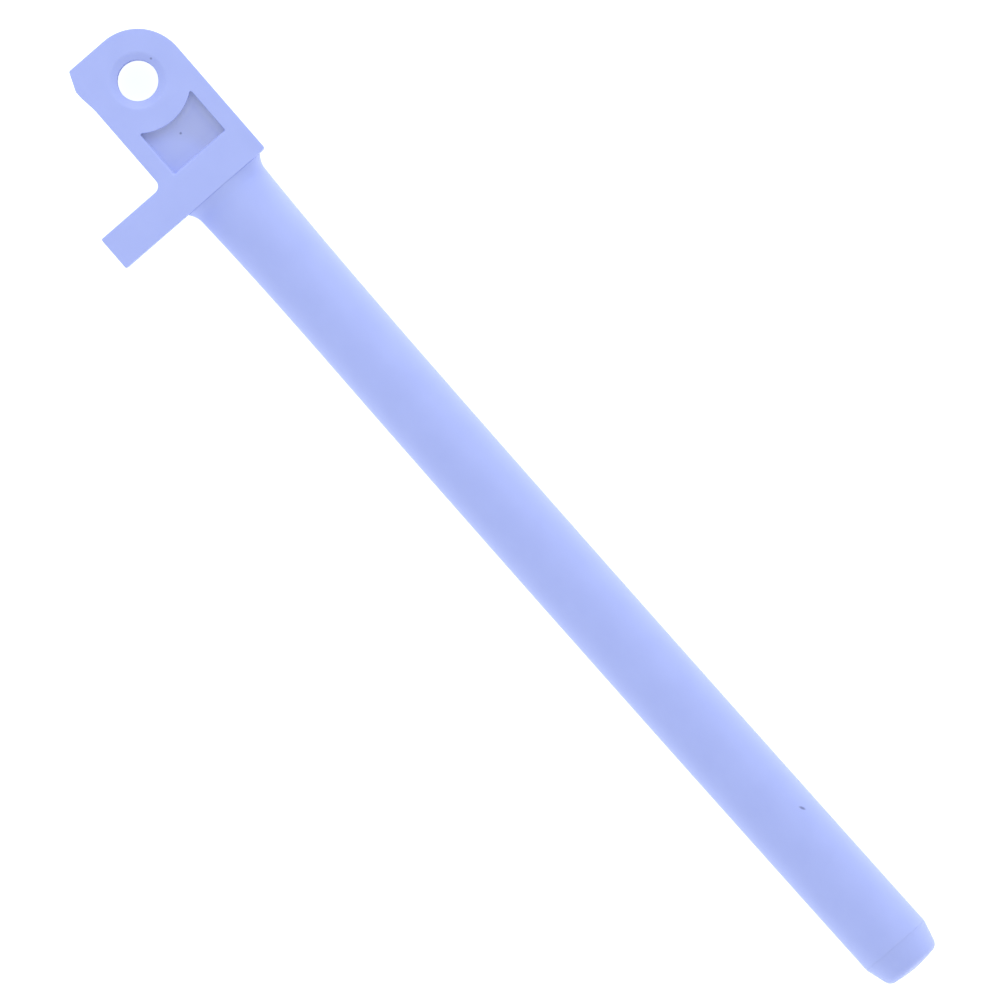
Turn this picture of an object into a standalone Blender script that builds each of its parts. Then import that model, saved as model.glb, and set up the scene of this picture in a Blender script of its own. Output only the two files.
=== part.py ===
"""Handle of a force-indicating periodontal probe, as moulded plastic pieces that press together.

A flat head with a snap-in hole for a disposable tip and an indicator arm at its side, a hollow round
grip behind it, and a chamfered plug in the grip's tail. The head and the plug each push a spigot into
the grip's bore, where a bead snaps into a groove and a rubber ring seals the joint.

Every piece is laid out from the centre of the head's hole: X runs towards the tail, Y away from the
indicator arm, and Z out of the head's upper face. One empty then carries the whole handle, so that the
scene's origin is at the middle of the underside of the handle's bounding box.
"""

import math

import bmesh
import bpy

MM = 0.001

# Head: a plate seen from above, cut from one thickness.
HEAD_THICKNESS = 11.4 * MM
HEAD_HALF_WIDTH = 6.21 * MM
HEAD_FRONT = -HEAD_HALF_WIDTH
HEAD_BACK = 16.0 * MM
HEAD_CORNER_RADIUS = 0.2 * MM
TOE_TOP = -5.5 * MM
TOE_BOTTOM = -6.48 * MM
TOE_TAPER_END = -3.83 * MM
TOE_LIP_END = -3.3 * MM
TOE_BLEND_END = -0.4 * MM

# Hole that a disposable tip snaps into, with a lead-in cone at both faces.
HOLE_RADIUS = 2.45 * MM
LEAD_IN_WIDTH = 0.95 * MM
LEAD_IN_DEPTH = 0.45 * MM

# Relief pocket in both faces, with a web left between the two.
POCKET_DEPTH = 1.2 * MM
POCKET_NEAR_RADIUS = 6.33 * MM
POCKET_HALF_WIDTH = 3.98 * MM
POCKET_FAR = 11.25 * MM

# Indicator arm, square to the handle at the back of the head.
ARM_WIDTH = 4.58 * MM
ARM_END = -15.74 * MM
ARM_FILLET = 1.0 * MM
ARM_CORNER_RADIUS = 0.15 * MM

# Grip: a hollow round tube, whose axis lies a little to the arm's side of the hole.
GRIP_AXIS_Y = -0.32 * MM
GRIP_RADIUS = 4.57 * MM
GRIP_TAIL = 136.67 * MM
FLARE_END = 47.6 * MM
FLARE_LENGTH = 28.8 * MM
FLARE_RISE = 0.34 * MM
FLARE_POWER = 3
FLANK_LENGTH = 1.7 * MM
FLANK_RISE = 0.66 * MM
FLANK_POWER = 2
BORE_RADIUS = 3.3 * MM

# Bow: the grip leaves the head square, and its tail end curves gently away from the arm's side.
BOW_START = 45.4 * MM
BOW_RISE = 0.93 * MM
BOW_POWER = 1.6

# Press joints between the grip and its two spigots.
GAP = 0.3 * MM
SPIGOT_RADIUS = BORE_RADIUS - GAP
HEAD_SPIGOT_LENGTH = 14.0 * MM
PLUG_SPIGOT_LENGTH = 9.0 * MM
SPIGOT_LEAD_IN = 0.7 * MM
BEAD_HEIGHT = 0.35 * MM
BEAD_HALF_WIDTH = 0.6 * MM
HEAD_BEAD_PLACE = 10.0 * MM
PLUG_BEAD_PLACE = 6.4 * MM
KEY_WIDTH = 1.2 * MM
KEY_HEIGHT = 0.6 * MM
KEY_START = 4.6 * MM
KEY_LENGTH = 3.6 * MM

# Rubber rings in a groove of each spigot.
SEAL_GROOVE_PLACE = 2.6 * MM
SEAL_GROOVE_WIDTH = 1.4 * MM
SEAL_GROOVE_DEPTH = 0.9 * MM
SEAL_SECTION_RADIUS = 0.5 * MM

# Tail plug's cap: a shallow cone, a round corner and a slightly domed end.
PLUG_FRONT = GRIP_TAIL + GAP
PLUG_CORNER_CENTRE = 139.12 * MM
PLUG_CORNER_RADIUS = 1.2 * MM
PLUG_DOME_RADIUS = 2.72 * MM
PLUG_DOME_RISE = 0.25 * MM
PLUG_END = PLUG_CORNER_CENTRE + PLUG_CORNER_RADIUS + PLUG_DOME_RISE

# Roundness of the facets.
TURNED_STEPS = 48
HOLE_STEPS = 64
HUB_STEPS = 24
BLEND_STEPS = 6
FLARE_STEPS = 8
FLANK_STEPS = 4
BOW_STEPS = 8
CORNER_STEPS = 4
PLUG_CORNER_STEPS = 8
SEAL_SECTION_STEPS = 12
SHARP_ANGLE = math.radians(30)

# Merging distance of welded points, well under any real feature.
WELD = 0.002 * MM
OVERLAP = 1.0 * MM

# Colours are linear RGB.
LILAC_BLUE = (0.38, 0.46, 0.88)
SEAL_GREY = (0.30, 0.31, 0.33)


# Scene set-up

def clear_scene():
    for obj in list(bpy.data.objects):
        bpy.data.objects.remove(obj, do_unlink=True)


def new_collection(name):
    collection = bpy.data.collections.new(name)
    bpy.context.scene.collection.children.link(collection)
    return collection


def plastic(name, colour):
    """Satin moulded plastic."""
    return surface(name, colour, roughness=0.45)


def rubber(name, colour):
    """Dull silicone rubber."""
    return surface(name, colour, roughness=0.8)


def surface(name, colour, roughness):
    material = bpy.data.materials.new(name)
    material.use_nodes = True
    shader = material.node_tree.nodes["Principled BSDF"]
    shader.inputs["Base Color"].default_value = (*colour, 1.0)
    shader.inputs["Roughness"].default_value = roughness
    shader.inputs["Metallic"].default_value = 0.0
    return material


# Shape builders

def add_object(name, mesh, collection, origin):
    obj = bpy.data.objects.new(name, mesh)
    obj.parent = origin
    collection.objects.link(obj)
    return obj


def arc(centre, radius, start, end, steps):
    """Points of an arc from angle start to angle end, in degrees, both ends included."""
    points = []
    for i in range(steps + 1):
        angle = math.radians(start + (end - start) * i / steps)
        points.append((centre[0] + radius * math.cos(angle), centre[1] + radius * math.sin(angle)))
    return points


def prism(name, outline, half_height, collection, origin):
    """A flat outline extruded both ways from Z = 0, as a mesh with its caps welded."""
    curve = bpy.data.curves.new(name + "_outline", "CURVE")
    curve.dimensions = "2D"
    curve.fill_mode = "BOTH"
    curve.extrude = half_height
    spline = curve.splines.new("POLY")
    spline.points.add(len(outline) - 1)
    for point, (x, y) in zip(spline.points, outline):
        point.co = (x, y, 0.0, 1.0)
    spline.use_cyclic_u = True
    guide = add_object(name + "_outline", curve, collection, origin)
    bpy.context.view_layer.update()
    graph = bpy.context.evaluated_depsgraph_get()
    mesh = bpy.data.meshes.new_from_object(guide.evaluated_get(graph))
    mesh.name = name
    weld(mesh)
    matrix = guide.matrix_world.copy()
    bpy.data.objects.remove(guide, do_unlink=True)
    obj = add_object(name, mesh, collection, origin)
    obj.matrix_world = matrix
    return obj


def weld(mesh):
    shape = bmesh.new()
    shape.from_mesh(mesh)
    bmesh.ops.remove_doubles(shape, verts=shape.verts, dist=WELD)
    bmesh.ops.recalc_face_normals(shape, faces=shape.faces)
    shape.to_mesh(mesh)
    shape.free()


def turned(name, profile, closed, collection, origin):
    """A profile of (radius, place along the grip) turned about the grip's axis, which then takes its bow.

    The profile runs from the tail to the head down the outer side. A closed one comes back up the inner side.
    """
    edges = [(i, i + 1) for i in range(len(profile) - 1)]
    if closed:
        edges.append((len(profile) - 1, 0))
    mesh = bpy.data.meshes.new(name)
    mesh.from_pydata([(radius, 0.0, place) for radius, place in profile], edges, [])
    obj = add_object(name, mesh, collection, origin)
    obj.location = (0.0, GRIP_AXIS_Y, 0.0)
    obj.rotation_euler = (0.0, math.radians(90), 0.0)
    screw = obj.modifiers.new("turn", "SCREW")
    screw.axis = "Z"
    screw.steps = TURNED_STEPS
    screw.render_steps = TURNED_STEPS
    screw.use_merge_vertices = True
    screw.merge_threshold = WELD
    bpy.context.view_layer.update()
    graph = bpy.context.evaluated_depsgraph_get()
    solid = bpy.data.meshes.new_from_object(obj.evaluated_get(graph))
    for vertex in solid.vertices:
        vertex.co.y += bow(vertex.co.z)
    obj.modifiers.clear()
    obj.data = solid
    return obj


def block(name, size, middle, collection, origin):
    """A box of a given size, centred on the grip's axis."""
    mesh = bpy.data.meshes.new(name)
    shape = bmesh.new()
    bmesh.ops.create_cube(shape, size=1.0)
    bmesh.ops.scale(shape, vec=size, verts=shape.verts)
    shape.to_mesh(mesh)
    shape.free()
    obj = add_object(name, mesh, collection, origin)
    obj.location = (middle, GRIP_AXIS_Y, 0.0)
    return obj


def cone(name, low_radius, high_radius, low, high, collection, origin):
    """A cone or cylinder along Z through the head's hole, from height low to height high."""
    mesh = bpy.data.meshes.new(name)
    shape = bmesh.new()
    bmesh.ops.create_cone(
        shape,
        cap_ends=True,
        segments=HOLE_STEPS,
        radius1=low_radius,
        radius2=high_radius,
        depth=high - low,
    )
    bmesh.ops.translate(shape, vec=(0.0, 0.0, (low + high) / 2), verts=shape.verts)
    shape.to_mesh(mesh)
    shape.free()
    return add_object(name, mesh, collection, origin)


def combine(obj, helper, operation):
    """Cuts the helper from the object, or joins it on, and leaves the helper out of renders."""
    helper.hide_render = True
    helper.display_type = "WIRE"
    modifier = obj.modifiers.new(helper.name, "BOOLEAN")
    modifier.operation = operation
    modifier.solver = "EXACT"
    modifier.object = helper


def finish(obj, material):
    obj.data.materials.append(material)
    obj.data.shade_smooth()
    obj.data.set_sharp_from_angle(angle=SHARP_ANGLE)


# Outlines and profiles

def toe_blend():
    """The toe's underside, from its lip back to the plate's straight edge, as a smooth S."""
    points = []
    for i in range(BLEND_STEPS + 1):
        share = i / BLEND_STEPS
        ease = share * share * (3 - 2 * share)
        x = TOE_LIP_END + (TOE_BLEND_END - TOE_LIP_END) * share
        points.append((x, TOE_BOTTOM + (-HEAD_HALF_WIDTH - TOE_BOTTOM) * ease))
    return points


def head_outline():
    """The head with its indicator arm, anticlockwise from the arm's inner corner with the plate."""
    arm_front = HEAD_BACK - ARM_WIDTH
    radius = ARM_CORNER_RADIUS
    outline = arc(
        (arm_front - ARM_FILLET, -HEAD_HALF_WIDTH - ARM_FILLET), ARM_FILLET, 90, 0, CORNER_STEPS
    )
    outline += arc((arm_front + radius, ARM_END + radius), radius, 180, 270, CORNER_STEPS)
    outline += arc((HEAD_BACK - radius, ARM_END + radius), radius, 270, 360, CORNER_STEPS)
    radius = HEAD_CORNER_RADIUS
    outline += arc((HEAD_BACK - radius, HEAD_HALF_WIDTH - radius), radius, 0, 90, CORNER_STEPS)
    outline += arc((0.0, 0.0), HEAD_HALF_WIDTH, 90, 180, HUB_STEPS)
    outline += [(HEAD_FRONT, TOE_TOP), (TOE_TAPER_END, TOE_BOTTOM)]
    return outline + toe_blend()


def pocket_outline():
    """A window whose near side follows the hub and whose far side is straight."""
    half_angle = math.degrees(math.asin(POCKET_HALF_WIDTH / POCKET_NEAR_RADIUS))
    near_side = arc((0.0, 0.0), POCKET_NEAR_RADIUS, half_angle, -half_angle, HUB_STEPS)
    return near_side + [(POCKET_FAR, -POCKET_HALF_WIDTH), (POCKET_FAR, POCKET_HALF_WIDTH)]


def grip_radius(x):
    """Outer radius of the grip: a slow flare towards the head, then a steep flank at its mouth."""
    radius = GRIP_RADIUS
    if x < FLARE_END:
        radius += FLARE_RISE * ((FLARE_END - x) / FLARE_LENGTH) ** FLARE_POWER
    flank_share = 1 - (x - HEAD_BACK) / FLANK_LENGTH
    if flank_share > 0:
        radius += FLANK_RISE * flank_share**FLANK_POWER
    return radius


def bow(x):
    """How far the grip's axis has drifted sideways at a place along it."""
    share = max(0.0, (x - BOW_START) / (GRIP_TAIL - BOW_START))
    return BOW_RISE * share**BOW_POWER


def bow_places():
    """Places, from the flare to the tail, where the grip's facets turn to follow its bow."""
    return [FLARE_END + (GRIP_TAIL - FLARE_END) * i / BOW_STEPS for i in range(1, BOW_STEPS)]


def grip_outer_profile():
    mouth = HEAD_BACK + GAP
    flank_end = HEAD_BACK + FLANK_LENGTH
    places = [GRIP_TAIL] + bow_places()[::-1]
    places += [FLARE_END + (flank_end - FLARE_END) * i / FLARE_STEPS for i in range(FLARE_STEPS)]
    places += [flank_end + (mouth - flank_end) * i / FLANK_STEPS for i in range(FLANK_STEPS + 1)]
    return [(grip_radius(x), x) for x in places]


def snap_groove(centre):
    """Points of a bead's groove in the bore, from the head side to the tail side."""
    floor = BORE_RADIUS + BEAD_HEIGHT
    return [
        (BORE_RADIUS, centre - BEAD_HALF_WIDTH - GAP),
        (floor, centre - GAP),
        (floor, centre + GAP),
        (BORE_RADIUS, centre + BEAD_HALF_WIDTH + GAP),
    ]


def grip_profile():
    bore = [(BORE_RADIUS, HEAD_BACK + GAP)]
    bore += snap_groove(HEAD_BACK + HEAD_BEAD_PLACE)
    bore += [(BORE_RADIUS, x) for x in [FLARE_END] + bow_places()]
    bore += snap_groove(PLUG_FRONT - PLUG_BEAD_PLACE)
    bore += [(BORE_RADIUS, GRIP_TAIL)]
    return grip_outer_profile() + bore


def spigot_points(shoulder, towards, length, bead_place):
    """Radii and places of a spigot, from its shoulder to its tip on the axis.

    towards is 1 for a spigot that points to the tail and -1 for one that points to the head.
    """
    groove_floor = SPIGOT_RADIUS - SEAL_GROOVE_DEPTH
    steps = [
        (SPIGOT_RADIUS, SEAL_GROOVE_PLACE - SEAL_GROOVE_WIDTH / 2),
        (groove_floor, SEAL_GROOVE_PLACE - SEAL_GROOVE_WIDTH / 2),
        (groove_floor, SEAL_GROOVE_PLACE + SEAL_GROOVE_WIDTH / 2),
        (SPIGOT_RADIUS, SEAL_GROOVE_PLACE + SEAL_GROOVE_WIDTH / 2),
        (SPIGOT_RADIUS, bead_place - BEAD_HALF_WIDTH),
        (SPIGOT_RADIUS + BEAD_HEIGHT, bead_place),
        (SPIGOT_RADIUS, bead_place + BEAD_HALF_WIDTH),
        (SPIGOT_RADIUS, length - SPIGOT_LEAD_IN),
        (SPIGOT_RADIUS - SPIGOT_LEAD_IN, length),
        (0.0, length),
    ]
    return [(radius, shoulder + towards * distance) for radius, distance in steps]


def head_spigot_profile():
    """The head's spigot, whose root is sunk into the plate so that the two join as one body."""
    root = HEAD_BACK - OVERLAP
    tip_first = spigot_points(HEAD_BACK, 1, HEAD_SPIGOT_LENGTH, HEAD_BEAD_PLACE)[::-1]
    return tip_first + [(SPIGOT_RADIUS, root), (0.0, root)]


def plug_cap_profile():
    """The cap that shows at the tail, from its centre out to the grip's end."""
    cap = [(0.0, PLUG_END)]
    for i in range(1, CORNER_STEPS):
        radius = PLUG_DOME_RADIUS * i / CORNER_STEPS
        cap.append((radius, PLUG_END - PLUG_DOME_RISE * (i / CORNER_STEPS) ** 2))
    corner = arc((PLUG_CORNER_CENTRE, PLUG_DOME_RADIUS), PLUG_CORNER_RADIUS, 0, 90, PLUG_CORNER_STEPS)
    cap += [(radius, place) for place, radius in corner]
    return cap + [(GRIP_RADIUS, PLUG_FRONT)]


def plug_profile():
    spigot = spigot_points(PLUG_FRONT, -1, PLUG_SPIGOT_LENGTH, PLUG_BEAD_PLACE)
    return plug_cap_profile() + [(SPIGOT_RADIUS, PLUG_FRONT)] + spigot


def seal_profile(centre):
    """A round ring section, centred between the groove's floor and the bore."""
    ring_radius = (SPIGOT_RADIUS - SEAL_GROOVE_DEPTH + BORE_RADIUS) / 2
    section = arc((ring_radius, centre), SEAL_SECTION_RADIUS, 90, -270, SEAL_SECTION_STEPS)
    return section[:-1]


# Pieces

def make_head(parts, cutters, origin, material):
    """Plate, arm and hub in one moulding: pocketed and holed, with a keyed spigot at its back."""
    half = HEAD_THICKNESS / 2
    head = prism("head_block", head_outline(), half, parts, origin)

    for side, name in ((1, "upper"), (-1, "lower")):
        pocket = prism(f"{name}_pocket_cutter", pocket_outline(), POCKET_DEPTH, cutters, origin)
        pocket.location.z += side * half
        combine(head, pocket, "DIFFERENCE")

    hole = cone("hole_cutter", HOLE_RADIUS, HOLE_RADIUS, -half - OVERLAP, half + OVERLAP, cutters, origin)
    combine(head, hole, "DIFFERENCE")
    slope = LEAD_IN_WIDTH / LEAD_IN_DEPTH
    wide = HOLE_RADIUS + slope * (LEAD_IN_DEPTH + OVERLAP)
    narrow = HOLE_RADIUS - slope * OVERLAP
    inner = half - LEAD_IN_DEPTH - OVERLAP
    upper = cone("upper_lead_in_cutter", narrow, wide, inner, half + OVERLAP, cutters, origin)
    lower = cone("lower_lead_in_cutter", wide, narrow, -half - OVERLAP, -inner, cutters, origin)
    combine(head, upper, "DIFFERENCE")
    combine(head, lower, "DIFFERENCE")

    combine(head, turned("head_spigot", head_spigot_profile(), False, cutters, origin), "UNION")
    keys_size = (KEY_LENGTH, KEY_WIDTH, 2 * (SPIGOT_RADIUS + KEY_HEIGHT))
    keys_middle = HEAD_BACK + KEY_START + KEY_LENGTH / 2
    combine(head, block("spigot_keys", keys_size, keys_middle, cutters, origin), "UNION")
    finish(head, material)


def make_grip(parts, cutters, origin, material):
    """Hollow tube with a flared mouth, a snap groove for each spigot and keyways for the head's keys."""
    grip = turned("grip_tube", grip_profile(), True, parts, origin)
    ways_start = HEAD_BACK - OVERLAP
    ways_end = HEAD_BACK + KEY_START + KEY_LENGTH + GAP
    ways_height = 2 * (SPIGOT_RADIUS + KEY_HEIGHT + GAP)
    size = (ways_end - ways_start, KEY_WIDTH + 2 * GAP, ways_height)
    middle = (ways_start + ways_end) / 2
    combine(grip, block("keyways_cutter", size, middle, cutters, origin), "DIFFERENCE")
    finish(grip, material)


def make_tail_plug(parts, origin, material):
    finish(turned("tail_plug", plug_profile(), False, parts, origin), material)


def make_seals(parts, origin, material):
    places = (
        ("head_seal", HEAD_BACK + SEAL_GROOVE_PLACE),
        ("tail_seal", PLUG_FRONT - SEAL_GROOVE_PLACE),
    )
    for name, place in places:
        finish(turned(name, seal_profile(place), True, parts, origin), material)


def make_origin(parts):
    """The empty that carries the handle, with the scene's origin under the middle of its box."""
    origin = bpy.data.objects.new("hole_centre", None)
    middle_x = (HEAD_FRONT + PLUG_END) / 2
    middle_y = (ARM_END + HEAD_HALF_WIDTH) / 2
    origin.location = (-middle_x, -middle_y, HEAD_THICKNESS / 2)
    parts.objects.link(origin)
    bpy.context.view_layer.update()
    return origin


def main():
    clear_scene()
    parts = new_collection("periodontal_probe_handle")
    cutters = new_collection("cutters")
    origin = make_origin(parts)
    moulded = plastic("lilac_blue_plastic", LILAC_BLUE)
    sealing = rubber("seal_rubber", SEAL_GREY)
    make_head(parts, cutters, origin, moulded)
    make_grip(parts, cutters, origin, moulded)
    make_tail_plug(parts, origin, moulded)
    make_seals(parts, origin, sealing)


main()
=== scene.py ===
"""Looks for the probe handle: finely rounded plastic mouldings in place of the CAD solids, on a pale table.

The handle is laid out as in its CAD source, from the centre of the hole in its head: X runs towards the
tail, Y away from the indicator arm, and Z up. Lengths are in millimetres there, and turn into metres in
the frame's own place when a mesh is made.
"""

import math

import bmesh
import bpy
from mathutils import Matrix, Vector


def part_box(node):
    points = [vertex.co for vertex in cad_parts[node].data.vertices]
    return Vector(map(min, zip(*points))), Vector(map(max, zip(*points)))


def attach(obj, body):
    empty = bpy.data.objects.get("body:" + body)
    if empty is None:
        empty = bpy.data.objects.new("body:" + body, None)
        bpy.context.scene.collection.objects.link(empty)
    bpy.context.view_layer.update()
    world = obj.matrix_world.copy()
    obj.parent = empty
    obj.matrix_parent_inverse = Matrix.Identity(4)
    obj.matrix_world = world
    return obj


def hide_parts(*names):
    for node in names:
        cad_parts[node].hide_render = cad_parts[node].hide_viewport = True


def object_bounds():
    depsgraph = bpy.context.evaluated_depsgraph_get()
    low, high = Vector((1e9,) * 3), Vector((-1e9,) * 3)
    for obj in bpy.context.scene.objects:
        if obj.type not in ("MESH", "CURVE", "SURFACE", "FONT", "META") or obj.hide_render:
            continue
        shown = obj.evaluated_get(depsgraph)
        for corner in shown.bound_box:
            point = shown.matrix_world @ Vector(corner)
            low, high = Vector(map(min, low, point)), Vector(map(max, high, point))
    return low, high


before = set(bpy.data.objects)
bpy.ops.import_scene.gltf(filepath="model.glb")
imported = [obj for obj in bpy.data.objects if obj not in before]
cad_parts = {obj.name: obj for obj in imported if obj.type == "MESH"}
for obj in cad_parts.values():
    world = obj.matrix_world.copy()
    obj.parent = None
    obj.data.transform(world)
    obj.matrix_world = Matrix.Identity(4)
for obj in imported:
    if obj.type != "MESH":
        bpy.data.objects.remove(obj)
cad_low, cad_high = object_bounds()

MM = 0.001

# Head, as in the CAD.
HALF_WIDTH = 6.21
HEAD_FRONT = -HALF_WIDTH
HEAD_BACK = 16.0
HALF_THICKNESS = 5.7
TOE_TOP = -5.5
TOE_BOTTOM = -6.48
TOE_TAPER_END = -3.83
TOE_LIP_END = -3.3
TOE_BLEND_END = -0.4
ARM_WIDTH = 4.58
ARM_END = -15.74
ARM_FILLET = 1.0
HOLE_RADIUS = 2.45
LEAD_IN_WIDTH = 0.95
LEAD_IN_DEPTH = 0.45
POCKET_DEPTH = 1.2
POCKET_NEAR_RADIUS = 6.33
POCKET_HALF_WIDTH = 3.98
POCKET_FAR = 11.25

# Grip, as in the CAD.
GRIP_AXIS_Y = -0.32
GRIP_RADIUS = 4.57
GRIP_TAIL = 136.67
FLARE_END = 47.6
FLARE_LENGTH = 28.8
FLARE_RISE = 0.34
FLANK_LENGTH = 1.7
FLANK_RISE = 0.66
BORE_RADIUS = 3.3
BOW_START = 45.4
BOW_RISE = 0.93
BOW_POWER = 1.6

# Press joints and their rings, as in the CAD.
GAP = 0.3
SPIGOT_RADIUS = 3.0
HEAD_SPIGOT_LENGTH = 14.0
OVERLAP = 1.0
PLUG_SPIGOT_LENGTH = 9.0
SPIGOT_LEAD_IN = 0.7
BEAD_HEIGHT = 0.35
BEAD_HALF_WIDTH = 0.6
HEAD_BEAD_PLACE = 10.0
PLUG_BEAD_PLACE = 6.4
KEY_WIDTH = 1.2
KEY_HEIGHT = 0.6
KEY_START = 4.6
KEY_LENGTH = 3.6
SEAL_GROOVE_PLACE = 2.6
SEAL_GROOVE_WIDTH = 1.4
SEAL_GROOVE_DEPTH = 0.9
SEAL_SECTION_RADIUS = 0.5

# Tail plug, as in the CAD.
PLUG_FRONT = GRIP_TAIL + GAP
PLUG_CORNER_CENTRE = 139.12
PLUG_CORNER_RADIUS = 1.2
PLUG_DOME_RADIUS = 2.72
PLUG_DOME_RISE = 0.25
PLUG_CORNER_TURN = 75

# Finish of the mouldings, which the CAD leaves out.
EDGE_RADIUS = 0.1
CORNER_RADIUS = 0.24
BACK_CORNER_RADIUS = 0.36
TOE_CORNER_RADIUS = 0.3
RIM_RADIUS = 0.3
CRISP_SHARE = 0.3
FLOOR_FILLET = 0.08
POCKET_CORNER_RADIUS = 0.16
LEAD_IN_BLEND = 0.8
HOLE_EDGE_BLEND = 0.12
SEAM = 0.002
SEAM_CHAMFER = 0.008
PARTING_RISE = 0.02
PARTING_HALF_WIDTH = 0.05
SUPPORT = 0.03

# The head's back edge is crisper across the grip's mouth: (side of the grip's axis, reach from it).
JOINT_SHARE = 0.1
JOINT_REACHES = ((-1, 6.1), (-1, 5.7), (1, 5.7), (1, 6.0))

# Fineness of the meshes.
TURN_STEPS = 192
BOW_STEPS = 24
FLARE_STEPS = 40
FLANK_STEPS = 20
BEAD_STEPS = 8
DOME_STEPS = 16
PLUG_CORNER_STEPS = 18
RING_STEPS = 32
HOLE_STEPS = 128
MERGE_DISTANCE = 1e-6
SMOOTH_ANGLE = 32

# Camera: straight down, with the handle running down to the right.
FRAME_WIDTH = 0.11905
CAMERA_DISTANCE = 5.5
CAMERA_ROLL = math.radians(49.03)
SENSOR = 36.0
AIM_FROM_HOLE = (65.99, -0.175)

# Brightness of the studio at the horizon and overhead.
HORIZON = 1.06
ZENITH = 0.76

# Light table, in metres. It lies just below the handle.
FLOOR_RADIUS = 3.0
FLOOR_DROP = 0.00002
FLOOR_GREY = 0.55
FLOOR_ROUGHNESS = 0.9
FLOOR_GLOW = (0.96, 1.0, 1.0)
FLOOR_GLOW_STRENGTH = 0.9

# Softbox, in metres, watts and degrees.
SOFTBOX_SIZE = 0.6
SOFTBOX_ENERGY = 2.4
SOFTBOX_DISTANCE = 0.9
SOFTBOX_ELEVATION = 45

# Dark specks in the plastic: (place, half size, turn about the vertical in degrees).
SPECKS = (
    ((-0.94, 2.9, HALF_THICKNESS), (0.17, 0.17, 0.4), 0.0),
    ((8.09, -0.25, HALF_THICKNESS - POCKET_DEPTH), (0.17, 0.17, 0.4), 0.0),
    ((117.3, 2.96, 3.75), (0.45, 0.17, 1.0), 25.0),
)
SPECK_COLOUR = (0.12, 0.14, 0.32)
SPECK_STRENGTH = 0.8
SPECK_FADE = (1.2, 0.4)

# Half sizes that measure a place in millimetres along X and Y, whatever its height.
FLAT_MILLIMETRES = (1.0, 1.0, 1000.0)

# Each finish of the plastic: its darkest and lightest tint, its roughness, and its grain's strength.
SATIN_COLOURS = ((0.377, 0.456, 0.885), (0.391, 0.472, 0.905))
SATIN_ROUGHNESS = 0.46
SATIN_GRAIN = 0.25
# The pockets' frosted finish: its roughness and grain are its own, and its tints, a little greyer than the
# satin's, are painted shade of the recess.
FROSTED_SHADED_COLOURS = ((0.379, 0.452, 0.835), (0.391, 0.464, 0.855))
FROSTED_ROUGHNESS = 0.62
FROSTED_GRAIN = 0.5

# What both finishes share, with depths in metres and scales in features per metre.
PLASTIC_IOR = 1.5
SCATTER_WEIGHT = 0.1
SCATTER_DEPTH = 0.0006
CLOUD_SCALE = 260.0
CLOUD_DETAIL = 3.0
CLOUD_STOPS = (0.3, 0.7)
CLOUD_GLOSS = 0.06
GRAIN_SCALE = 9000.0
GRAIN_DETAIL = 2.0
GRAIN_DEPTH = 0.00001

# Silicone rubber of the rings.
RUBBER_COLOURS = ((0.27, 0.28, 0.30), (0.33, 0.34, 0.36))
RUBBER_ROUGHNESS = (0.7, 0.85)
BLOOM_SCALE = 1500.0
BLOOM_DETAIL = 4.0

# Painted shade in the pockets: a grey tint, none by the lit corner by the arm, and stronger with the
# distance from it in millimetres. Its colour and reach are fitted to the look of the real pocket, and
# its cause is unknown.
POCKET_SHADE_COLOUR = (0.375, 0.435, 0.765)
POCKET_SHADE_CLEAR_PLACE = (POCKET_FAR, -POCKET_HALF_WIDTH, 0.0)
POCKET_SHADE_RANGE = (3.8, 5.4)

# Painted light along the foot of each pocket wall, a pale tint: (coordinate, the wall's place, way in,
# strength).
# The strengths are fitted as well, and partly cancel the shade that gathers at the walls in this light.
WALL_FOOT_LIGHT_COLOUR = (0.70, 0.76, 0.92)
WALL_FOOT_LIGHT_WIDTH = 1.0
WALL_FOOT_LIGHT_LINES = (
    ("Radius", POCKET_NEAR_RADIUS, 1, 0.35),
    ("X", POCKET_FAR, -1, 0.17),
    ("Y", POCKET_HALF_WIDTH, -1, 0.45),
    ("Y", -POCKET_HALF_WIDTH, 1, 0.12),
)


def hole_centre():
    """The centre of the head's hole in the frame, from the head's own box."""
    low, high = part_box("head_block")
    return Vector((low.x - HEAD_FRONT * MM, high.y - HALF_WIDTH * MM, (low.z + high.z) / 2))


ORIGIN = hole_centre()


# Outlines and profiles, in millimetres from the hole's centre

def arc(centre, radius, start, end, steps):
    """Points of an arc from angle start to angle end, in degrees, both ends included."""
    points = []
    for i in range(steps + 1):
        angle = math.radians(start + (end - start) * i / steps)
        points.append((centre[0] + radius * math.cos(angle), centre[1] + radius * math.sin(angle)))
    return points


def rounded(points, radii, steps=6, support=SUPPORT):
    """A polyline whose inner corners are rounded, with a support point beside each rounding."""
    made = [Vector(points[0])]
    for i in range(1, len(points) - 1):
        here = Vector(points[i])
        radius = radii[i - 1]
        back = (Vector(points[i - 1]) - here).normalized()
        forth = (Vector(points[i + 1]) - here).normalized()
        half = back.angle(forth) / 2
        reach = radius / math.tan(half)
        centre = here + (back + forth).normalized() * (radius / math.sin(half))
        start = here + back * reach
        end = here + forth * reach
        made.append(start + back * support)
        for k in range(steps + 1):
            made.append(centre + (start - centre).slerp(end - centre, k / steps) * radius)
        made.append(end + forth * support)
    made.append(Vector(points[-1]))
    return made


def toe_blend(steps=16):
    points = []
    for i in range(steps + 1):
        share = i / steps
        ease = share * share * (3 - 2 * share)
        x = TOE_LIP_END + (TOE_BLEND_END - TOE_LIP_END) * share
        points.append((x, TOE_BOTTOM + (-HALF_WIDTH - TOE_BOTTOM) * ease))
    return points


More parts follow.
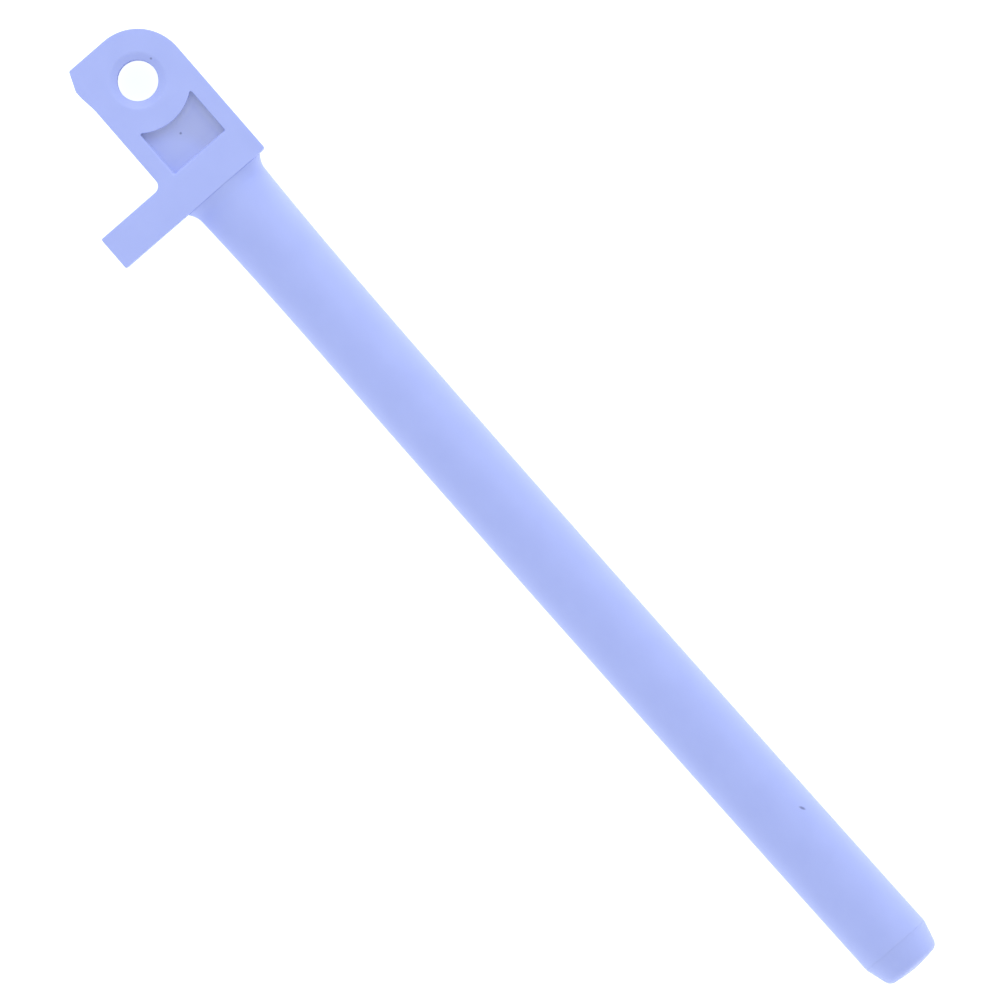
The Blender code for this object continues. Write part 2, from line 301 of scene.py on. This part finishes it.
def head_outline():
    """The head with its arm, anticlockwise from the arm's inner corner with the plate.

    Returns the points and each one's share of the edge's radius, which is small where the grip meets it.
    """
    arm_front = HEAD_BACK - ARM_WIDTH
    radius = CORNER_RADIUS
    fillet = arc((arm_front - ARM_FILLET, -HALF_WIDTH - ARM_FILLET), ARM_FILLET, 90, 0, 12)
    arm_end = arc((arm_front + radius, ARM_END + radius), radius, 180, 270, 8)
    arm_end += arc((HEAD_BACK - radius, ARM_END + radius), radius, 270, 360, 8)
    radius = BACK_CORNER_RADIUS
    back = arc((HEAD_BACK - radius, HALF_WIDTH - radius), radius, 0, 90, 8)
    hub = arc((0.0, 0.0), HALF_WIDTH, 90, 180, 64)
    toe = [hub[-1], (HEAD_FRONT, TOE_TOP), (TOE_TAPER_END, TOE_BOTTOM), (TOE_LIP_END, TOE_BOTTOM)]
    toe = rounded(toe, [TOE_CORNER_RADIUS, TOE_CORNER_RADIUS])
    before = fillet + arm_end
    after = back + hub + toe[1:-1] + toe_blend()
    joint = [(HEAD_BACK, GRIP_AXIS_Y + side * reach) for side, reach in JOINT_REACHES]
    shares = [1.0] * len(before) + [1.0, JOINT_SHARE, JOINT_SHARE, 1.0] + [1.0] * len(after)
    return before + joint + after, shares


def pocket_outline():
    """Anticlockwise window, and each point's share of the rim's radius.

    The near side follows the hub. The rim is crisp there and away from the arm, and softer along the
    other two sides.
    """
    radius = POCKET_CORNER_RADIUS
    side = POCKET_HALF_WIDTH - radius
    near = math.sqrt((POCKET_NEAR_RADIUS + radius) ** 2 - side**2)
    half_angle = math.degrees(math.atan2(side, near))
    hub = arc((0.0, 0.0), POCKET_NEAR_RADIUS, half_angle, -half_angle, 48)
    lower_near = arc((near, -side), radius, 180 - half_angle, 270, 8)
    lower_far = arc((POCKET_FAR - radius, -side), radius, 270, 360, 8)
    upper_far = arc((POCKET_FAR - radius, side), radius, 0, 90, 8)
    upper_near = arc((near, side), radius, 90, 180 + half_angle, 8)
    shares = [CRISP_SHARE] * len(hub[1:-1]) + eased(CRISP_SHARE, 1.0, len(lower_near))
    shares += [1.0] * len(lower_far) + eased(1.0, CRISP_SHARE, len(upper_far))
    shares += [CRISP_SHARE] * len(upper_near)
    return hub[1:-1] + lower_near + lower_far + upper_far + upper_near, shares


def eased(start, end, count):
    """Values from start to end in equal steps."""
    return [start + (end - start) * i / (count - 1) for i in range(count)]


def offset(outline, distances):
    """The anticlockwise outline with each point moved outwards by its own distance."""
    grown = []
    count = len(outline)
    for i in range(count):
        before, here, after = (Vector(outline[k % count]) for k in (i - 1, i, i + 1))
        one = (here - before).normalized()
        two = (after - here).normalized()
        out = Vector((one.y + two.y, -one.x - two.x)).normalized()
        mitre = out.dot(Vector((two.y, -two.x)))
        grown.append(here + out * (distances[i] / mitre))
    return grown


def edge_profile(side):
    """Profile of an outer edge from the flat face to the parting line: (growth, height)."""
    inset = EDGE_RADIUS + SUPPORT * 2
    wall = -PARTING_RISE
    corner = [(-inset, HALF_THICKNESS), (wall, HALF_THICKNESS), (wall, PARTING_HALF_WIDTH)]
    profile = rounded(corner, [EDGE_RADIUS]) + [Vector((0.0, 0.0))]
    return [(growth, side * height) for growth, height in profile]


def pocket_profile(side):
    """From the flat face over the rim, down the wall and round onto the floor: (growth, height)."""
    floor = HALF_THICKNESS - POCKET_DEPTH
    start = RIM_RADIUS + SUPPORT * 2
    inner = -FLOOR_FILLET - SUPPORT * 2
    corners = [(start, HALF_THICKNESS), (0.0, HALF_THICKNESS), (0.0, floor), (inner, floor)]
    return [(growth, side * height) for growth, height in rounded(corners, [RIM_RADIUS, FLOOR_FILLET])]


def hole_profile():
    """Right through the head, from face to face: (radius, height)."""
    outer = HOLE_RADIUS + LEAD_IN_WIDTH
    neck = HALF_THICKNESS - LEAD_IN_DEPTH
    start = outer + LEAD_IN_BLEND / 2
    corners = [(start, HALF_THICKNESS), (outer, HALF_THICKNESS), (HOLE_RADIUS, neck), (HOLE_RADIUS, 0.0)]
    half = rounded(corners, [LEAD_IN_BLEND, HOLE_EDGE_BLEND])
    return half + [Vector((radius, -height)) for radius, height in reversed(half[:-1])]


def bow(x):
    """How far the grip's axis has drifted sideways at a place along it."""
    share = max(0.0, (x - BOW_START) / (GRIP_TAIL - BOW_START))
    return BOW_RISE * share**BOW_POWER


def bow_places():
    return [FLARE_END + (GRIP_TAIL - FLARE_END) * i / BOW_STEPS for i in range(1, BOW_STEPS)]


def grip_radius(x):
    """Outer radius of the grip, which meets the head's rounded edge at its mouth."""
    radius = GRIP_RADIUS
    if x < FLARE_END:
        radius += FLARE_RISE * ((FLARE_END - x) / FLARE_LENGTH) ** 3
    flank_share = 1 - (x - HEAD_BACK) / FLANK_LENGTH
    if flank_share > 0:
        radius += FLANK_RISE * flank_share**2
    return min(radius, HALF_THICKNESS - EDGE_RADIUS)


def grip_outer_profile():
    """From the tail to the head as (radius, x)."""
    mouth = HEAD_BACK + SEAM
    flank_end = HEAD_BACK + FLANK_LENGTH
    tail = PLUG_FRONT - SEAM
    places = [tail - SEAM_CHAMFER] + bow_places()[::-1]
    places += [FLARE_END + (flank_end - FLARE_END) * i / FLARE_STEPS for i in range(FLARE_STEPS)]
    places += [flank_end + (mouth - flank_end) * i / FLANK_STEPS for i in range(FLANK_STEPS + 1)]
    return [(GRIP_RADIUS - SEAM_CHAMFER, tail)] + [(grip_radius(x), x) for x in places]


def snap_groove(centre):
    floor = BORE_RADIUS + BEAD_HEIGHT
    return [
        (BORE_RADIUS, centre - BEAD_HALF_WIDTH - GAP),
        (floor, centre - GAP),
        (floor, centre + GAP),
        (BORE_RADIUS, centre + BEAD_HALF_WIDTH + GAP),
    ]


def grip_profile():
    """Closed section of the tube: down the outside to the head, and back up the bore."""
    bore = [(BORE_RADIUS, HEAD_BACK + SEAM)]
    bore += snap_groove(HEAD_BACK + HEAD_BEAD_PLACE)
    bore += [(BORE_RADIUS, x) for x in [FLARE_END] + bow_places() if x < PLUG_FRONT - PLUG_SPIGOT_LENGTH]
    bore += snap_groove(PLUG_FRONT - PLUG_BEAD_PLACE)
    bore += [(BORE_RADIUS, PLUG_FRONT - SEAM)]
    return grip_outer_profile() + bore


def spigot_points(shoulder, towards, length, bead_place):
    """Radii and places of a spigot from its shoulder to its tip.

    Towards is 1 for a spigot that points to the tail, and -1 for one that points to the head.
    """
    groove_floor = SPIGOT_RADIUS - SEAL_GROOVE_DEPTH
    half_width = SEAL_GROOVE_WIDTH / 2
    steps = [
        (SPIGOT_RADIUS, SEAL_GROOVE_PLACE - half_width),
        (groove_floor, SEAL_GROOVE_PLACE - half_width),
        (groove_floor, SEAL_GROOVE_PLACE + half_width),
        (SPIGOT_RADIUS, SEAL_GROOVE_PLACE + half_width),
        (SPIGOT_RADIUS, bead_place - BEAD_HALF_WIDTH),
    ]
    for i in range(1, BEAD_STEPS):
        share = 2 * i / BEAD_STEPS - 1
        rise = BEAD_HEIGHT * math.cos(share * math.pi / 2)
        steps.append((SPIGOT_RADIUS + rise, bead_place + BEAD_HALF_WIDTH * share))
    steps += [
        (SPIGOT_RADIUS, bead_place + BEAD_HALF_WIDTH),
        (SPIGOT_RADIUS, length - SPIGOT_LEAD_IN),
        (SPIGOT_RADIUS - SPIGOT_LEAD_IN, length),
        (0.0, length),
    ]
    return [(radius, shoulder + towards * distance) for radius, distance in steps]


def head_spigot_profile():
    """The head's spigot, whose root is sunk into the plate so that the two join as one body."""
    root = HEAD_BACK - OVERLAP
    tip_first = spigot_points(HEAD_BACK, 1, HEAD_SPIGOT_LENGTH, HEAD_BEAD_PLACE)[::-1]
    return tip_first + [(SPIGOT_RADIUS, root), (0.0, root)]


def plug_profile():
    """Tail cap and spigot as (radius, x), from the cap's centre to the spigot's tip."""
    end = PLUG_CORNER_CENTRE + PLUG_CORNER_RADIUS + PLUG_DOME_RISE
    cap = []
    for i in range(DOME_STEPS):
        share = i / DOME_STEPS
        cap.append((PLUG_DOME_RADIUS * share, end - PLUG_DOME_RISE * share * share))
    centre = (PLUG_CORNER_CENTRE, PLUG_DOME_RADIUS)
    corner = arc(centre, PLUG_CORNER_RADIUS, 0, PLUG_CORNER_TURN, PLUG_CORNER_STEPS)
    cap += [(radius, x) for x, radius in corner]
    cap += [(GRIP_RADIUS, PLUG_FRONT + SEAM_CHAMFER), (GRIP_RADIUS - SEAM_CHAMFER, PLUG_FRONT)]
    spigot = spigot_points(PLUG_FRONT, -1, PLUG_SPIGOT_LENGTH, PLUG_BEAD_PLACE)
    return cap + [(SPIGOT_RADIUS, PLUG_FRONT)] + spigot


def seal_profile(centre):
    """A round ring section, centred between the groove's floor and the bore."""
    ring_radius = (SPIGOT_RADIUS - SEAL_GROOVE_DEPTH + BORE_RADIUS) / 2
    return arc((ring_radius, centre), SEAL_SECTION_RADIUS, 90, -270, RING_STEPS)[:-1]


# Meshes

def place(x, y, z):
    """A point in the frame, in metres, from its place in millimetres from the hole's centre."""
    return ORIGIN + Vector((x, y, z)) * MM


def add_piece(name, mesh):
    piece = bpy.data.objects.new(name, mesh)
    bpy.context.scene.collection.objects.link(piece)
    return piece


def mesh_of(shape, name):
    mesh = bpy.data.meshes.new(name)
    shape.to_mesh(mesh)
    shape.free()
    return mesh


def loop_edges(shape, loop):
    return [shape.edges.get((loop[i - 1], loop[i])) for i in range(len(loop))]


def skin(shape, outline, shares, profile):
    """Walls that follow the outline through each (growth, height), where each point takes its share.

    Returns the edges of the first loop, the edges of the last loop, and the walls.
    """
    loops = []
    for growth, height in profile:
        points = offset(outline, [growth * share for share in shares])
        loops.append([shape.verts.new(place(x, y, height)) for x, y in points])
    count = len(outline)
    walls = []
    for upper, lower in zip(loops, loops[1:]):
        for i in range(count):
            k = (i + 1) % count
            walls.append(shape.faces.new((upper[i], upper[k], lower[k], lower[i])))
    first, last = [loop_edges(shape, loop) for loop in (loops[0], loops[-1])]
    return first, last, walls


def fill(shape, edges, side):
    """Flat faces between loops of edges. Returns the faces."""
    made = bmesh.ops.triangle_fill(shape, use_beauty=True, edges=edges, normal=(0, 0, side))
    return [item for item in made["geom"] if isinstance(item, bmesh.types.BMFace)]


def make_plate():
    """The head without its spigot: rounded rims, two pockets and a hole."""
    shape = bmesh.new()
    outline, shares = head_outline()
    wall = edge_profile(1) + edge_profile(-1)[::-1][1:]
    top_edges, bottom_edges, _ = skin(shape, outline, shares, wall)
    pocket, pocket_shares = pocket_outline()
    frosted_shaded = []
    for side, edges in ((1, top_edges), (-1, bottom_edges)):
        mouth, floor, walls = skin(shape, pocket, pocket_shares, pocket_profile(side))
        edges += mouth
        frosted_shaded += fill(shape, floor, side)
        brink = ORIGIN.z + side * (HALF_THICKNESS - RIM_RADIUS * 1.5) * MM
        frosted_shaded += [face for face in walls if side * (face.calc_center_median().z - brink) < 0]
    circle = arc((0.0, 0.0), HOLE_RADIUS, 0, 360, HOLE_STEPS)[:-1]
    profile = [(radius - HOLE_RADIUS, height) for radius, height in hole_profile()]
    top_hole, bottom_hole, _ = skin(shape, circle, [1.0] * len(circle), profile)
    fill(shape, top_edges + top_hole, 1)
    fill(shape, bottom_edges + bottom_hole, -1)
    for face in frosted_shaded:
        face.material_index = 1
    bmesh.ops.recalc_face_normals(shape, faces=shape.faces)
    return add_piece("head_moulding", mesh_of(shape, "head_moulding"))


def apply_modifiers(piece):
    """Replaces the piece's mesh by what its modifiers make of it, in the frame's own place."""
    bpy.context.view_layer.update()
    graph = bpy.context.evaluated_depsgraph_get()
    mesh = bpy.data.meshes.new_from_object(piece.evaluated_get(graph))
    mesh.name = piece.name
    mesh.transform(piece.matrix_world)
    piece.modifiers.clear()
    piece.data = mesh
    piece.location = (0.0, 0.0, 0.0)
    piece.rotation_euler = (0.0, 0.0, 0.0)


def turned(name, profile, closed):
    """A profile of (radius, x) turned about the grip's axis, which then takes its bow."""
    edges = [(i, i + 1) for i in range(len(profile) - 1)]
    if closed:
        edges.append((len(profile) - 1, 0))
    mesh = bpy.data.meshes.new(name)
    mesh.from_pydata([(radius * MM, 0.0, x * MM) for radius, x in profile], edges, [])
    piece = add_piece(name, mesh)
    piece.location = place(0.0, GRIP_AXIS_Y, 0.0)
    piece.rotation_euler = (0.0, math.radians(90), 0.0)
    screw = piece.modifiers.new("turn", "SCREW")
    screw.axis = "Z"
    screw.steps = TURN_STEPS
    screw.render_steps = TURN_STEPS
    screw.use_merge_vertices = True
    screw.merge_threshold = MERGE_DISTANCE
    apply_modifiers(piece)
    for vertex in piece.data.vertices:
        vertex.co.y += bow((vertex.co.x - ORIGIN.x) / MM) * MM
    return piece


def block(name, start, end, width, height):
    """A box centred on the grip's axis, which joins or cuts a round piece."""
    shape = bmesh.new()
    bmesh.ops.create_cube(shape, size=1.0)
    bmesh.ops.scale(shape, vec=Vector((end - start, width, height)) * MM, verts=shape.verts)
    bmesh.ops.translate(shape, vec=place((start + end) / 2, GRIP_AXIS_Y, 0.0), verts=shape.verts)
    return add_piece(name, mesh_of(shape, name))


def combine(piece, helper, operation):
    """Cuts the helper from the piece, or joins it on, and removes the helper."""
    modifier = piece.modifiers.new(helper.name, "BOOLEAN")
    modifier.operation = operation
    modifier.solver = "EXACT"
    modifier.object = helper
    apply_modifiers(piece)
    bpy.data.objects.remove(helper, do_unlink=True)


def make_head():
    head = make_plate()
    keys_start = HEAD_BACK + KEY_START
    keys_height = 2 * (SPIGOT_RADIUS + KEY_HEIGHT)
    combine(head, turned("spigot_helper", head_spigot_profile(), False), "UNION")
    keys = block("keys_helper", keys_start, keys_start + KEY_LENGTH, KEY_WIDTH, keys_height)
    combine(head, keys, "UNION")
    return head


def make_grip():
    grip = turned("grip_moulding", grip_profile(), True)
    ways_end = HEAD_BACK + KEY_START + KEY_LENGTH + GAP
    ways_height = 2 * (SPIGOT_RADIUS + KEY_HEIGHT + GAP)
    ways = block("keyways_helper", HEAD_BACK - OVERLAP, ways_end, KEY_WIDTH + 2 * GAP, ways_height)
    combine(grip, ways, "DIFFERENCE")
    return grip


def make_plug():
    return turned("tail_plug_moulding", plug_profile(), False)


def make_ring(name, centre):
    return turned(name, seal_profile(centre), True)


# Materials

def new_material(name):
    material = bpy.data.materials.new(name)
    material.use_nodes = True
    return material, material.node_tree.nodes, material.node_tree.links


def object_noise(nodes, links, where, scale, detail):
    noise = nodes.new("ShaderNodeTexNoise")
    noise.inputs["Scale"].default_value = scale
    noise.inputs["Detail"].default_value = detail
    links.new(where.outputs["Object"], noise.inputs["Vector"])
    return noise.outputs["Fac"]


def colour_ramp(nodes, links, source, stops):
    ramp = nodes.new("ShaderNodeValToRGB")
    for element, (position, colour) in zip(ramp.color_ramp.elements, stops):
        element.position = position
        element.color = (*colour, 1.0)
    links.new(source, ramp.inputs["Fac"])
    return ramp.outputs["Color"]


def ranged(nodes, links, source, from_range, to_range):
    span = nodes.new("ShaderNodeMapRange")
    span.inputs["From Min"].default_value = from_range[0]
    span.inputs["From Max"].default_value = from_range[1]
    span.inputs["To Min"].default_value = to_range[0]
    span.inputs["To Max"].default_value = to_range[1]
    links.new(source, span.inputs["Value"])
    return span.outputs["Result"]


def measured_from(nodes, links, where, centre, half_size, turn):
    """A place measured from a centre, in the half sizes of a turned ellipsoid, and its distance."""
    local = nodes.new("ShaderNodeMapping")
    local.vector_type = "TEXTURE"
    local.inputs["Location"].default_value = place(*centre)
    local.inputs["Rotation"].default_value = (0.0, 0.0, math.radians(turn))
    local.inputs["Scale"].default_value = Vector(half_size) * MM
    links.new(where.outputs["Object"], local.inputs["Vector"])
    length = nodes.new("ShaderNodeVectorMath")
    length.operation = "LENGTH"
    links.new(local.outputs["Vector"], length.inputs[0])
    return local.outputs["Vector"], length.outputs["Value"]


def laid_over(nodes, links, colour, cover, amount):
    """A colour with a cover laid over it by an amount."""
    mix = nodes.new("ShaderNodeMixRGB")
    mix.inputs["Color2"].default_value = (*cover, 1.0)
    links.new(amount, mix.inputs["Fac"])
    links.new(colour, mix.inputs["Color1"])
    return mix.outputs["Color"]


def add_specks(nodes, links, where, colour):
    """Lays the dark specks over a colour, each as a soft-edged ellipsoid."""
    for speck in SPECKS:
        _, distance = measured_from(nodes, links, where, *speck)
        amount = ranged(nodes, links, distance, SPECK_FADE, (0.0, SPECK_STRENGTH))
        colour = laid_over(nodes, links, colour, SPECK_COLOUR, amount)
    return colour


def add_pocket_shade(nodes, links, where, colour):
    """Lays the painted shade, a grey tint, over a pocket's colour; it grows away from the lit corner by the
    arm.
    """
    _, distance = measured_from(nodes, links, where, POCKET_SHADE_CLEAR_PLACE, FLAT_MILLIMETRES, 0.0)
    amount = ranged(nodes, links, distance, POCKET_SHADE_RANGE, (0.0, 1.0))
    return laid_over(nodes, links, colour, POCKET_SHADE_COLOUR, amount)


def add_wall_foot_light(nodes, links, where, colour):
    """Lays the painted light, a pale tint, over a pocket's colour along the foot of each wall."""
    flat, radius = measured_from(nodes, links, where, (0.0, 0.0, 0.0), FLAT_MILLIMETRES, 0.0)
    split = nodes.new("ShaderNodeSeparateXYZ")
    links.new(flat, split.inputs["Vector"])
    measures = {"Radius": radius, "X": split.outputs["X"], "Y": split.outputs["Y"]}
    for coordinate, wall, way_in, strength in WALL_FOOT_LIGHT_LINES:
        band = (wall + way_in * WALL_FOOT_LIGHT_WIDTH, wall)
        amount = ranged(nodes, links, measures[coordinate], band, (0.0, strength))
        colour = laid_over(nodes, links, colour, WALL_FOOT_LIGHT_COLOUR, amount)
    return colour


def moulded_plastic(name, colours, roughness, grain, paints_pocket_shade_and_light):
    """Plastic with faint clouding of its colour and gloss, specks, and the fine grain of the mould."""
    material, nodes, links = new_material(name)
    shader = nodes["Principled BSDF"]
    shader.inputs["IOR"].default_value = PLASTIC_IOR
    shader.inputs["Subsurface Weight"].default_value = SCATTER_WEIGHT
    shader.inputs["Subsurface Radius"].default_value = (1.0, 1.0, 1.0)
    shader.inputs["Subsurface Scale"].default_value = SCATTER_DEPTH
    where = nodes.new("ShaderNodeTexCoord")

    cloud = object_noise(nodes, links, where, CLOUD_SCALE, CLOUD_DETAIL)
    tint = colour_ramp(nodes, links, cloud, zip(CLOUD_STOPS, colours))
    # In the pockets, painted shade and painted light are laid over the plastic's tint.
    if paints_pocket_shade_and_light:
        tint = add_wall_foot_light(nodes, links, where, add_pocket_shade(nodes, links, where, tint))
    links.new(add_specks(nodes, links, where, tint), shader.inputs["Base Color"])
    gloss = ranged(nodes, links, cloud, (0.0, 1.0), (roughness - CLOUD_GLOSS, roughness + CLOUD_GLOSS))
    links.new(gloss, shader.inputs["Roughness"])

    bump = nodes.new("ShaderNodeBump")
    bump.inputs["Strength"].default_value = grain
    bump.inputs["Distance"].default_value = GRAIN_DEPTH
    links.new(object_noise(nodes, links, where, GRAIN_SCALE, GRAIN_DETAIL), bump.inputs["Height"])
    links.new(bump.outputs["Normal"], shader.inputs["Normal"])
    return material


def seal_rubber():
    """Matte grey silicone rubber with a faint bloom of dust."""
    material, nodes, links = new_material("seal_rubber")
    shader = nodes["Principled BSDF"]
    where = nodes.new("ShaderNodeTexCoord")
    bloom = object_noise(nodes, links, where, BLOOM_SCALE, BLOOM_DETAIL)
    tint = colour_ramp(nodes, links, bloom, zip(CLOUD_STOPS, RUBBER_COLOURS))
    links.new(tint, shader.inputs["Base Color"])
    roughness = ranged(nodes, links, bloom, (0.0, 1.0), RUBBER_ROUGHNESS)
    links.new(roughness, shader.inputs["Roughness"])
    return material


def dress(piece, *materials):
    """Gives a piece its materials, in the order of its faces' material numbers."""
    for material in materials:
        piece.data.materials.append(material)


# Stage

def make_floor():
    """A pale light table: bright enough by itself that what lies on it throws hardly a shadow."""
    shape = bmesh.new()
    bmesh.ops.create_circle(shape, cap_ends=True, radius=FLOOR_RADIUS, segments=96)
    floor = add_piece("floor", mesh_of(shape, "floor"))
    floor.location.z = cad_low.z - FLOOR_DROP
    material, nodes, _ = new_material("light_table")
    shader = nodes["Principled BSDF"]
    shader.inputs["Base Color"].default_value = (FLOOR_GREY, FLOOR_GREY, FLOOR_GREY, 1.0)
    shader.inputs["Roughness"].default_value = FLOOR_ROUGHNESS
    shader.inputs["Specular IOR Level"].default_value = 0.0
    shader.inputs["Emission Color"].default_value = (*FLOOR_GLOW, 1.0)
    shader.inputs["Emission Strength"].default_value = FLOOR_GLOW_STRENGTH
    dress(floor, material)


def make_world():
    """An even studio, a little brighter towards the horizon than overhead."""
    world = bpy.data.worlds.new("studio")
    bpy.context.scene.world = world
    world.use_nodes = True
    nodes = world.node_tree.nodes
    links = world.node_tree.links
    where = nodes.new("ShaderNodeTexCoord")
    direction = nodes.new("ShaderNodeSeparateXYZ")
    links.new(where.outputs["Generated"], direction.inputs["Vector"])
    strength = ranged(nodes, links, direction.outputs["Z"], (0.0, 1.0), (HORIZON, ZENITH))
    background = nodes["Background"]
    background.inputs["Color"].default_value = (1.0, 1.0, 1.0, 1.0)
    links.new(strength, background.inputs["Strength"])


def image_up():
    """The direction in the frame that points up in the camera's picture."""
    return Vector((-math.sin(CAMERA_ROLL), math.cos(CAMERA_ROLL), 0.0))


def make_softbox():
    """One large soft light, above and beyond the top of the picture."""
    light = bpy.data.lights.new("softbox", "AREA")
    light.shape = "SQUARE"
    light.size = SOFTBOX_SIZE
    light.energy = SOFTBOX_ENERGY
    lamp = bpy.data.objects.new("softbox", light)
    bpy.context.scene.collection.objects.link(lamp)
    centre = (cad_low + cad_high) / 2
    elevation = math.radians(SOFTBOX_ELEVATION)
    away = image_up() * math.cos(elevation) + Vector((0.0, 0.0, math.sin(elevation)))
    lamp.location = centre + away * SOFTBOX_DISTANCE
    lamp.rotation_euler = (-away).to_track_quat("-Z", "Y").to_euler()


def make_camera():
    camera_data = bpy.data.cameras.new("camera")
    camera_data.sensor_width = SENSOR
    camera_data.lens = SENSOR * CAMERA_DISTANCE / FRAME_WIDTH
    camera_data.clip_start = 0.1
    camera_data.clip_end = 2 * CAMERA_DISTANCE
    camera = bpy.data.objects.new("camera", camera_data)
    bpy.context.scene.collection.objects.link(camera)
    aim = place(AIM_FROM_HOLE[0], AIM_FROM_HOLE[1], HALF_THICKNESS)
    camera.location = aim + Vector((0.0, 0.0, CAMERA_DISTANCE))
    camera.rotation_euler = (0.0, 0.0, CAMERA_ROLL)
    bpy.context.scene.camera = camera


def stand_in(piece, node):
    """Lets a finished piece stand for a CAD node."""
    piece.data.shade_smooth()
    piece.data.set_sharp_from_angle(angle=math.radians(SMOOTH_ANGLE))
    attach(piece, "root")
    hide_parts(node)


def main():
    make_camera()
    make_floor()
    make_world()
    make_softbox()
    bpy.context.scene.view_settings.view_transform = "Standard"

    satin = moulded_plastic("lilac_blue_satin", SATIN_COLOURS, SATIN_ROUGHNESS, SATIN_GRAIN, False)
    frosted_shaded = moulded_plastic("lilac_blue_frosted_shaded", FROSTED_SHADED_COLOURS, FROSTED_ROUGHNESS, FROSTED_GRAIN, True)
    rubber = seal_rubber()

    head = make_head()
    dress(head, satin, frosted_shaded)
    stand_in(head, "head_block")
    for piece, node in ((make_grip(), "grip_tube"), (make_plug(), "tail_plug")):
        dress(piece, satin)
        stand_in(piece, node)
    rings = (
        (make_ring("head_ring", HEAD_BACK + SEAL_GROOVE_PLACE), "head_seal"),
        (make_ring("tail_ring", PLUG_FRONT - SEAL_GROOVE_PLACE), "tail_seal"),
    )
    for ring, node in rings:
        dress(ring, rubber)
        stand_in(ring, node)


main()
